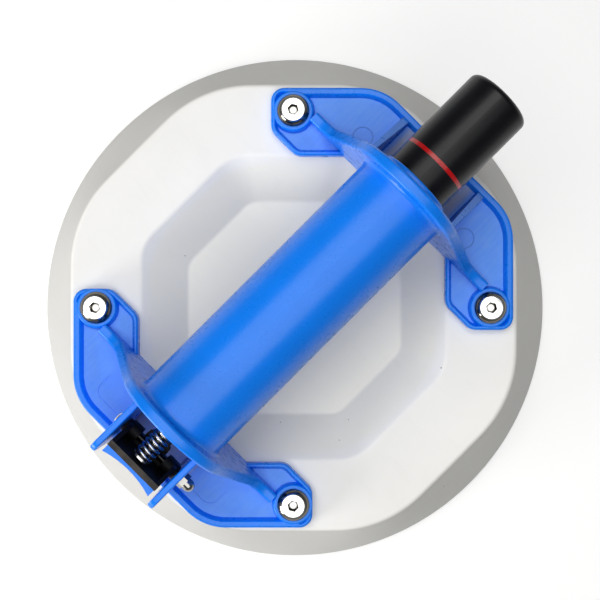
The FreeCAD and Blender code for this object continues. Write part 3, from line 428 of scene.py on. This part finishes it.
materials = {}
for name, settings in plasticSettings.items():
    materials[name] = makePlastic(name, settings, plasticPattern)
for name, settings in metalSettings.items():
    materials[name] = makeMetal(name, settings, metalPattern)
materials["mouldedHandle"] = makeMouldedHandle(handleFinish, plasticSettings["bluePlastic"])
materials["padRubber"] = makePadRubber(padFinish)
materials["pinSteel"] = makePinSteel(pinFinish, metalSettings["polishedSteel"])
materials["screwSteel"] = makeScrewSteel(screwFinish, metalSettings["polishedSteel"])
materials["leverBlack"] = makeLeverBlack(leverFinish, leverPlastic)
print("materials made")

# Finish of each CAD node

nodeFinish = {
    "padRubber": ["suction_pad"],
    "mouldedHandle": ["handle_body"],
    "bluePlastic": ["guide_sleeve", "lever_thumb_pad"],
    "plungerBlack": ["plunger", "piston_head"],
    "leverBlack": ["release_lever"],
    "redLine": ["indicator_ring"],
    "screwSteel": ["handle_screws"],
    "polishedSteel": ["piston_screw"],
    "pinSteel": ["pivot_screw"],
    "oiledSteel": ["valve_stem"],
    "springSteel": ["return_spring", "valve_spring", "stem_retainer"],
    "nutSteel": ["pivot_acorn_nut"],
    "plateSteel": ["stiffener_plate", "pad_insert_nuts"],
    "brass": ["valve_seat_bush", "bush_nut"],
    "aluminium": ["pump_cylinder"],
    "sealRubber": ["duct_ring", "cylinder_seal", "inlet_check_valve", "wiper_ring", "piston_cup_seal",
                   "valve_seal"],
    "felt": ["air_filter"],
}

for finish, nodes in nodeFinish.items():
    for node in nodes:
        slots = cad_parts[node].material_slots
        for slot in slots:
            slot.material = materials[finish]
print("finishes given")

# Meshes from rings of points

def ringMesh(name, rings, poles=None):
    # rings is levels x around x 3. Neighbouring rings are joined all the way round. With poles, a fan
    # closes each end; without them the last ring joins the first, which makes a closed loop
    levels, around = rings.shape[:2]
    index = np.arange(levels * around).reshape(levels, around)
    if poles is None:
        index = np.concatenate([index, index[:1]])
    ahead = np.roll(index, -1, axis=1)
    quads = np.stack([index[:-1], ahead[:-1], ahead[1:], index[1:]], axis=-1).reshape(-1, 4)
    faces, points = quads.tolist(), rings.reshape(-1, 3)
    if poles is not None:
        first, last = levels * around, levels * around + 1
        startFan = np.stack([np.full(around, first), ahead[0], index[0]], axis=-1)
        endFan = np.stack([np.full(around, last), index[-1], ahead[-1]], axis=-1)
        faces += startFan.tolist() + endFan.tolist()
        points = np.concatenate([points, poles])
    mesh = bpy.data.meshes.new(name)
    mesh.from_pydata(points.tolist(), [], faces)
    mesh.shade_smooth()
    piece = bpy.data.objects.new(name, mesh)
    scene.collection.objects.link(piece)
    return piece


def roundedProfile(corners, radii, steps=9, shares=(0.04, 0.3, 0.7, 0.96)):
    # corners is count x around x 2. Each inner corner becomes an arc of its radius that touches both
    # of its sides, and the shares put further points on each straight stretch between two arcs
    def unit(vector):
        return vector / np.linalg.norm(vector, axis=-1, keepdims=True)

    along = np.linspace(0.0, 1.0, steps)[:, None, None]
    arcs = [corners[:1]]
    for i, radius in enumerate(radii, 1):
        back, ahead = unit(corners[i - 1] - corners[i]), unit(corners[i + 1] - corners[i])
        half = np.arccos(np.clip((back * ahead).sum(-1, keepdims=True), -1.0, 1.0)) / 2
        centre = corners[i] + unit(back + ahead) * radius / np.sin(half)
        start = corners[i] + back * radius / np.tan(half) - centre
        finish = corners[i] + ahead * radius / np.tan(half) - centre
        sweep = np.pi - 2 * half
        arcs.append(centre + (np.sin((1 - along) * sweep) * start + np.sin(along * sweep) * finish)
                    / np.sin(sweep))
    arcs.append(corners[-1:])
    spread = np.array(shares)[:, None, None]
    rows = [arcs[0]]
    for before, after in zip(arcs, arcs[1:]):
        rows += [before[-1:] + (after[:1] - before[-1:]) * spread, after]
    return np.concatenate(rows)


def cornerRings(corners, turn):
    # (distance, height) corners repeated for each direction; a distance may vary round the axis
    return np.array([[distance + 0 * turn, height + 0 * turn]
                     for distance, height in corners]).transpose(0, 2, 1)


def turned(profile, turn, centre):
    # profile of (distance, height) carried round an upright axis at the centre
    return np.stack([centre[0] + profile[..., 0] * np.cos(turn), centre[1] + profile[..., 0] * np.sin(turn),
                     profile[..., 1] + 0 * turn], axis=-1)


# Rubber pad: one closed skin from the air port underneath, over the dish, lip, flank and rim, down
# into the recess

padSkin = {
    "around": 640,
    "lipRadius": 0.105, "lipEdge": 0.002, "lipLand": 0.008,
    "rimHeight": 0.026, "rimApothem": 0.0898, "rimCorner": 0.048, "rimRounding": 0.0024,
    "recessApothem": 0.0614, "recessCorner": 0.018, "recessRounding": 0.0032,
    "floorApothem": 0.0442, "floorCorner": 0.009, "floorRounding": 0.0026, "recessDepth": 0.0145,
    "dishDepth": 0.008, "grooveRadius": 0.09, "grooveWidth": 0.0016, "grooveDepth": 0.0016,
    "grooveRounding": 0.0003, "landRounding": 0.002, "lipRoundings": (0.0004, 0.0006), "centreShare": 0.04,
    "portX": -0.0515, "portRadius": 0.0045, "portDepth": 0.0024, "dishRings": 26,
    "dishSpread": 1.5,
}


def octagonRadius(turn, apothem, corner):
    # distance from the centre to the edge of a rounded octagon with flats square to X and Y: the
    # nearest corner's arc where the ray meets it, and the flat beside it elsewhere
    off = turn % (np.pi / 4) - np.pi / 8
    reach = (apothem - corner) / np.cos(np.pi / 8)
    arc = reach * np.cos(off) + np.sqrt(np.maximum(corner ** 2 - (reach * np.sin(off)) ** 2, 0.0))
    arcEnd = np.arctan2(corner * np.sin(np.pi / 8), reach + corner * np.cos(np.pi / 8))
    return np.where(np.abs(off) < arcEnd, arc, apothem / np.cos(np.pi / 8 - np.abs(off)))


def dishHeight(distance, pad):
    # the underside is a shallow ball cap that starts at the lip
    edge, depth = pad["lipRadius"] - pad["lipLand"], pad["dishDepth"]
    ball = (edge ** 2 + depth ** 2) / (2 * depth)
    return depth - ball + np.sqrt(ball ** 2 - distance ** 2)


def makePadSkin(pad):
    turn = np.linspace(0.0, 2 * np.pi, pad["around"], endpoint=False)
    port = np.array([pad["portX"], 0.0])
    roof = dishHeight(abs(pad["portX"]), pad) + pad["portDepth"]
    circle = np.stack([np.cos(turn), np.sin(turn)], axis=-1)
    mouth = port + pad["portRadius"] * circle
    pocket = np.concatenate([mouth, np.full((pad["around"], 1), roof)], axis=-1)[None]
    # dish: straight lines from the port's mouth to the groove, laid on the ball
    inner = pad["grooveRadius"] - pad["grooveWidth"] / 2
    outer = inner + pad["grooveWidth"]
    share = np.linspace(0.0, 1.0, pad["dishRings"])[:, None, None] ** pad["dishSpread"]
    flat = mouth + (inner * circle - mouth) * share
    dish = np.concatenate([flat, dishHeight(np.hypot(flat[..., 0], flat[..., 1]), pad)[..., None]], axis=-1)
    grooveTop = dishHeight(inner, pad) + pad["grooveDepth"]
    rim, floor = pad["rimHeight"], pad["rimHeight"] - pad["recessDepth"]
    floorEdge = octagonRadius(turn, pad["floorApothem"], pad["floorCorner"])
    outline = [(inner, dishHeight(inner, pad)), (inner, grooveTop), (outer, grooveTop),
               (outer, dishHeight(outer, pad)), (pad["lipRadius"] - pad["lipLand"], 0.0),
               (pad["lipRadius"], 0.0), (pad["lipRadius"], pad["lipEdge"]),
               (octagonRadius(turn, pad["rimApothem"], pad["rimCorner"]), rim),
               (octagonRadius(turn, pad["recessApothem"], pad["recessCorner"]), rim),
               (floorEdge, floor), (pad["centreShare"] * floorEdge, floor)]
    roundings = [pad["grooveRounding"]] * 3 + [pad["landRounding"], *pad["lipRoundings"],
                                               pad["rimRounding"], pad["recessRounding"],
                                               pad["floorRounding"]]
    profile = roundedProfile(cornerRings(outline, turn), roundings)
    rings = np.concatenate([pocket, dish[:-1], turned(profile, turn, (0.0, 0.0))])
    poles = [(pad["portX"], 0.0, roof), (0.0, 0.0, floor)]
    return ringMesh("padSkin", rings, poles)


# Collar in the recess that takes the spigot of the air duct, and the felt in the port below it

portCollar = {"around": 96, "radius": 0.008, "bore": 0.004, "airway": 0.002, "top": 0.0237, "base": 0.0095,
              "socket": 0.0157, "rounding": 0.0007, "innerRounding": 0.0002, "seam": 0.0005}
portFelt = {"around": 72, "radius": 0.0044, "crown": 0.0005, "rounding": 0.0006, "crownShare": (0.05, 0.86),
            "crownRings": 12, "edgeShare": 0.88, "edgeDrop": 0.2, "topShare": 0.5}


def makePortCollar(collar, centre):
    # a closed wall profile turned about the port's axis
    turn = np.linspace(0.0, 2 * np.pi, collar["around"], endpoint=False)
    base, top, socket = collar["base"], collar["top"], collar["socket"]
    wall = [(collar["airway"], base), (collar["radius"], base), (collar["radius"], top),
            (collar["bore"], top), (collar["bore"], socket), (collar["airway"], socket),
            (collar["airway"], base + collar["seam"])]
    rounding, inner = collar["rounding"], collar["innerRounding"]
    profile = roundedProfile(cornerRings(wall, turn), [inner, rounding, rounding / 2, inner, inner])
    return ringMesh("portCollar", turned(profile, turn, centre))


def makePortFelt(felt, centre, bottom, top):
    # a disc whose underside bulges a little: crown times one minus the square of the distance
    turn = np.linspace(0.0, 2 * np.pi, felt["around"], endpoint=False)
    share = np.linspace(*felt["crownShare"], felt["crownRings"])[:, None]
    under = np.stack([felt["radius"] * share + 0 * turn,
                      bottom - felt["crown"] * (1 - share ** 2) + 0 * turn], axis=-1)
    radius = felt["radius"]
    corners = cornerRings([(radius * felt["edgeShare"], bottom - felt["crown"] * felt["edgeDrop"]),
                           (radius, bottom), (radius, top), (radius * felt["topShare"], top)], turn)
    profile = np.concatenate([under, roundedProfile(corners, [felt["rounding"], felt["rounding"]])])
    poles = [(*centre, bottom - felt["crown"]), (*centre, top)]
    return ringMesh("portFelt", turned(profile, turn, centre), poles)


# Springs of the release valve and of the plunger: round wire along a helix, its last half turns lying
# close

valveCoil = {"coilRadius": 0.0034, "wire": 0.0012, "turns": 6.6, "closedTurns": 0.5, "closedPace": 0.45,
             "stepsPerTurn": 56, "aroundWire": 20, "startTurn": 0.5}
plungerCoil = {"coilRadius": 0.0104, "wire": 0.0014, "turns": 9.0, "closedTurns": 0.5, "closedPace": 0.45,
               "stepsPerTurn": 64, "aroundWire": 16, "startTurn": 0.0}


def makeCoil(name, coil, start, end, axisHeight):
    # the centre line turns evenly about the grip's axis, while its pace along X falls to about a wire's
    # width in the closed turns; the wire's section is a circle across the line
    count = int(coil["turns"] * coil["stepsPerTurn"])
    turns = np.linspace(0.0, coil["turns"], count)
    fromEnd = np.clip(np.minimum(turns, coil["turns"] - turns) / coil["closedTurns"], 0.0, 1.0)
    pace = coil["closedPace"] + (1 - coil["closedPace"]) * fromEnd ** 2 * (3 - 2 * fromEnd)
    along = np.concatenate([[0.0], np.cumsum((pace[1:] + pace[:-1]) / 2)])
    half = coil["wire"] / 2
    x = start + half + (end - start - coil["wire"]) * along / along[-1]
    angle = 2 * np.pi * (turns + coil["startTurn"])
    outwards = np.stack([0 * angle, np.sin(angle), np.cos(angle)], axis=-1)
    line = np.stack([x, 0 * angle, axisHeight + 0 * angle], axis=-1) + coil["coilRadius"] * outwards
    forward = np.gradient(line, axis=0)
    forward /= np.linalg.norm(forward, axis=-1, keepdims=True)
    side = np.cross(outwards, forward)
    side /= np.linalg.norm(side, axis=-1, keepdims=True)
    around = np.linspace(0.0, 2 * np.pi, coil["aroundWire"], endpoint=False)[:, None]
    rings = line[:, None] + half * (np.cos(around) * outwards[:, None] + np.sin(around) * side[:, None])
    return ringMesh(name, rings, [line[0], line[-1]])


def dress(piece, material, body, slot, *nodes):
    piece.data.materials.append(materials[material])
    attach(piece, body)
    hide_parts(*nodes)


portCentre = (padSkin["portX"], 0.0)
dress(makePadSkin(padSkin), "padRubber", "base", "pad_rubber", "suction_pad")
dress(makePortCollar(portCollar, portCentre), "padRubber", "base", "pad_rubber", "suction_pad")
feltLow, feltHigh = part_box("air_filter")
dress(makePortFelt(portFelt, portCentre, feltLow.z, feltHigh.z), "felt", "base", "felt", "air_filter")
print("pad dressed")


def fitCoil(name, coil, node):
    # the coil fills its node's length
    low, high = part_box(node)
    piece = makeCoil(name, coil, low.x, high.x, (low.z + high.z) / 2)
    dress(piece, "springSteel", "base", "spring_steel", node)
    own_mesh(piece)


fitCoil("valveCoil", valveCoil, "valve_spring")
fitCoil("plungerCoil", plungerCoil, "return_spring")
print("springs made")

# Floor, light and world

studioSettings = {
    "flatRadius": 5.0, "wallRadius": 9.0, "wallHeight": 3.0, "drop": 0.0001,
    "around": 96, "sweepSteps": 13, "floorRough": 0.9,
    "floorColor": (0.62, 0.62, 0.62, 1.0), "farColor": (0.12, 0.12, 0.12, 1.0), "colorFade": (0.5, 1.1),
    "glow": (0.42, 0.22), "glowFade": (0.5, 2.5),
    "horizonColor": (0.031, 0.031, 0.031, 1.0),
    "zenithColor": (0.125, 0.125, 0.122, 1.0),
    "skyRange": (0.1, 0.9), "worldStrength": 1.0,
}

lampSettings = [   # name, place, aim, width and depth, watts, colour
    ("keyLamp", (-1.22, 0.32, 0.3), (0.0, 0.0, 0.03), (0.6, 0.3), 11.4, (1.0, 0.99, 0.97)),
    ("topLamp", (-0.17, 0.05, 1.1), (-0.17, 0.05, 0.0), (0.86, 1.58), 10.3, (1.0, 0.995, 0.985)),
    ("stripLamp", (0.45, 0.24, 1.1), (0.45, 0.24, 0.0), (0.36, 0.62), 2.6, (1.0, 0.995, 0.985)),
]


def makeFloor(settings):
    # flat under the lifter, and far away it sweeps up into the backdrop: the height is the wall's height
    # times 3 s^2 - 2 s^3, where s runs from 0 to 1 between the two radii
    share = np.linspace(0.0, 1.0, settings["sweepSteps"])[:, None]
    turn = np.linspace(0.0, 2 * np.pi, settings["around"], endpoint=False)
    distance = settings["flatRadius"] + share * (settings["wallRadius"] - settings["flatRadius"])
    height = settings["wallHeight"] * (3 * share ** 2 - 2 * share ** 3) - settings["drop"]
    rings = np.stack([distance * np.cos(turn), distance * np.sin(turn), height + 0 * turn], axis=-1)
    index = np.arange(settings["sweepSteps"] * settings["around"]).reshape(-1, settings["around"])
    ahead = np.roll(index, -1, axis=1)
    quads = np.stack([index[:-1], ahead[:-1], ahead[1:], index[1:]], axis=-1).reshape(-1, 4)
    mesh = bpy.data.meshes.new("studioFloor")
    mesh.from_pydata(rings.reshape(-1, 3).tolist(), [], [index[0].tolist()] + quads.tolist())
    floor = bpy.data.objects.new("studioFloor", mesh)
    scene.collection.objects.link(floor)
    material, tree, shader, coords = newMaterial("floorPaper")
    shader.inputs["Roughness"].default_value = settings["floorRough"]
    shader.inputs["Emission Color"].default_value = (1.0, 1.0, 1.0, 1.0)
    # colour and glow fade with the distance, so that the backdrop is an even, quiet grey
    away = lengthOf(tree, coords)
    far = mapRange(tree, away, 0.0, 1.0, settings["colorFade"])
    tree.links.new(mixColor(tree, far, settings["floorColor"], settings["farColor"]),
                   shader.inputs["Base Color"])
    glow = mapRange(tree, away, *settings["glow"], settings["glowFade"])
    tree.links.new(cameraGlow(tree, glow), shader.inputs["Emission Strength"])
    mesh.materials.append(material)


def cameraGlow(tree, strength):
    # strength where the ray comes from the camera, a mirror or glass, and none elsewhere
    path = tree.nodes.new("ShaderNodeLightPath")
    total = path.outputs["Is Camera Ray"]
    for kind in ("Is Glossy Ray", "Is Transmission Ray"):
        total = combine(tree, "MAXIMUM", total, path.outputs[kind])
    return combine(tree, "MULTIPLY", total, strength)


def makeLamps(lamps):
    for name, place, aim, size, watts, color in lamps:
        data = bpy.data.lights.new(name, "AREA")
        data.shape = "RECTANGLE"
        data.size, data.size_y = size
        data.energy = watts
        data.color = color
        lamp = bpy.data.objects.new(name, data)
        lamp.location = place
        direction = Vector(aim) - Vector(place)
        lamp.rotation_euler = direction.to_track_quat("-Z", "Y").to_euler()
        lamp.visible_camera = False
        scene.collection.objects.link(lamp)


def makeWorld(settings):
    # dim at the horizon and brighter overhead, so that bright metal has dark edges
    world = bpy.data.worlds.new("studioWorld")
    world.use_nodes = True
    tree = world.node_tree
    background = tree.nodes["Background"]
    coords = tree.nodes.new("ShaderNodeTexCoord")
    height = splitVector(tree, coords.outputs["Generated"])["Z"]
    color = ramp(tree, height, settings["skyRange"], [settings["horizonColor"], settings["zenithColor"]])
    tree.links.new(color, background.inputs["Color"])
    background.inputs["Strength"].default_value = settings["worldStrength"]
    scene.world = world


makeFloor(studioSettings)
makeLamps(lampSettings)
makeWorld(studioSettings)
scene.view_settings.view_transform = "Standard"
print("studio lit")
